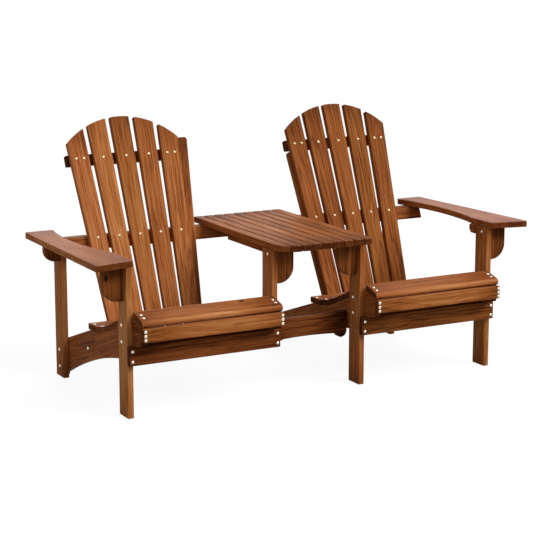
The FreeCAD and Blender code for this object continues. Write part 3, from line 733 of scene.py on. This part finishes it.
def zinc_plated_steel(name, dull, bright, roughness):
    """Plated metal that clouds between two colours, and whose roughness varies a little with it."""
    material = bpy.data.materials.new(name)
    material.use_nodes = True
    tree = material.node_tree
    shader = tree.nodes["Principled BSDF"]
    place = add(tree, "ShaderNodeTexCoord").outputs["Object"]
    cloud = add(tree, "ShaderNodeTexNoise", {"Vector": place, "Scale": MM / CLOUD, "Detail": CLOUD_DETAIL})
    cloud = cloud.outputs["Fac"]
    tree.links.new(maths(tree, "MULTIPLY_ADD", cloud, CLOUDINESS, roughness), shader.inputs["Roughness"])
    colour = ramp(tree, cloud, *zip(CLOUD_STOPS, (dull, bright)))
    tree.links.new(colour, shader.inputs["Base Color"])
    shader.inputs["Metallic"].default_value = PLATED
    return material


BRIGHT_ZINC = zinc_plated_steel("zinc_plated_steel", *ZINC)
YELLOW_ZINC = zinc_plated_steel("yellow_passivated_zinc", *PASSIVATED)
for piece in SCREWS:
    finish_with(piece, YELLOW_ZINC if piece.name.startswith("back") else BRIGHT_ZINC)
print("screws plated:", len(SCREWS), "groups")

# %% [markdown]
# A product picture stands on a plain pale floor that runs into a white background. What the camera sees of
# the floor is mostly its own even white, with a little matt reflection that carries the bench's soft
# shadow. What the bench receives from it is the light of a plain matt grey, so that the undersides stay
# deep.

# %% Floor
FLOOR_SIZE = 30.0
FLOOR_WHITE = 0.93
FLOOR_SHADE = "#565656"
FLOOR_BOUNCE = "#9C9A96"
WHITE = "#FFFFFF"


def seen_directly(tree):
    """1 for rays from the camera, from a glossy face or through glass, and 0 for those that carry light."""
    path = add(tree, "ShaderNodeLightPath").outputs
    mirrored = maths(tree, "MAXIMUM", path["Is Glossy Ray"], path["Is Transmission Ray"])
    return maths(tree, "MAXIMUM", path["Is Camera Ray"], mirrored)


def floor_plane():
    """One square face at Z = 0 under the bench."""
    half = FLOOR_SIZE / 2
    corners = [(-half, -half, 0), (half, -half, 0), (half, half, 0), (-half, half, 0)]
    mesh = bpy.data.meshes.new("floor")
    mesh.from_pydata(corners, [], [(0, 1, 2, 3)])
    piece = bpy.data.objects.new("floor", mesh)
    bpy.context.scene.collection.objects.link(piece)
    material = bpy.data.materials.new("matt_white_floor")
    material.use_nodes = True
    tree = material.node_tree
    tree.nodes.clear()
    bounce = add(tree, "ShaderNodeBsdfDiffuse", {"Color": paint(FLOOR_BOUNCE)})
    shade = add(tree, "ShaderNodeBsdfDiffuse", {"Color": paint(FLOOR_SHADE)})
    white = add(tree, "ShaderNodeEmission", {"Color": paint(WHITE), "Strength": FLOOR_WHITE})
    both = add(tree, "ShaderNodeAddShader", {0: shade.outputs[0], 1: white.outputs[0]})
    mixed = add(tree, "ShaderNodeMixShader", {0: seen_directly(tree), 1: bounce.outputs[0],
                                              2: both.outputs[0]})
    add(tree, "ShaderNodeOutputMaterial", {"Surface": mixed.outputs[0]})
    finish_with(piece, material)
    return piece


floor = floor_plane()
print("floor:", FLOOR_SIZE, "m wide, faces:", len(floor.data.polygons))

# %% [markdown]
# The white all round works the same way as the floor's: the camera and the bright screws see it in full,
# and the boards are lit by a weaker level of it. A fully white room would light every side alike, and no
# board would have a dark side.

# %% White surroundings
AMBIENT = 0.26
world = bpy.data.worlds.new("white_studio")
bpy.context.scene.world = world
world.use_nodes = True
sky = world.node_tree
sky.nodes.clear()
level = maths(sky, "MAXIMUM", seen_directly(sky), AMBIENT)
backdrop = add(sky, "ShaderNodeBackground", {"Color": paint(WHITE), "Strength": level})
add(sky, "ShaderNodeOutputWorld", {"Surface": backdrop.outputs[0]})
print("the surroundings light the boards at", AMBIENT)

# %% [markdown]
# The light is one large soft source, high up in front of the bench and well to its right, so that it
# reaches few of the narrow sides between the slats of the backs. The fronts and tops of the boards are
# bright, and whatever lies under an arm, the table or the front of a seat falls off softly. A weak and very
# wide source on the left keeps the sides that face it readable, and a low one behind the bench does the
# same for its rear. Each is a sun lamp, because a soft box that is far away lights the whole bench evenly.

# %% Lamps
# Strength, spread in degrees and the direction that the light comes from
LAMPS = {
    "key": (3.0, 36.0, (0.46, -0.56, 0.69)),
    "fill": (0.60, 90.0, (-0.90, -0.35, 0.35)),
    "rear": (1.3, 60.0, (0.50, 0.84, 0.10)),
}


def soft_source(name, strength, spread, source):
    """A sun lamp that stands for a large soft box: its light comes from source, spread over some degrees."""
    sun = bpy.data.lights.new(name, "SUN")
    sun.energy = strength
    sun.angle = math.radians(spread)
    lamp = bpy.data.objects.new(name, sun)
    lamp.rotation_euler = Vector(source).to_track_quat("Z", "Y").to_euler()
    bpy.context.scene.collection.objects.link(lamp)


for name, lamp in LAMPS.items():
    soft_source(name, *lamp)

# %% [markdown]
# The camera's place was worked out from the photograph's perspective and is measured from the outer front
# corner of the left front leg, at the ground. It looks along the bench from its front left, a little from
# above. Its long lens keeps the far chair almost as large as the near one.

# %% Camera
CAMERA_FROM_LEG = Vector((-2.1334, -4.9384, 1.6225))
CAMERA_YAW = 28.29
CAMERA_PITCH = 11.61
FOCAL_PIXELS = 1669.35
FRAME_PIXELS = 533
SENSOR = 36.0
lens = bpy.data.cameras.new("camera")
lens.sensor_width = SENSOR
lens.lens = SENSOR * FOCAL_PIXELS / FRAME_PIXELS
camera = bpy.data.objects.new("camera", lens)
camera.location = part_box("left_outer_front_leg")[0] + CAMERA_FROM_LEG
camera.rotation_euler = Euler((math.radians(90 - CAMERA_PITCH), 0.0, math.radians(-CAMERA_YAW)))
bpy.context.scene.collection.objects.link(camera)
bpy.context.scene.camera = camera
print("camera at", [round(c, 3) for c in camera.location], "lens", round(lens.lens, 2))

# %% [markdown]
# The picture's colours are shown as they are, with no film look.

# %% Colours
bpy.context.scene.view_settings.view_transform = "Standard"
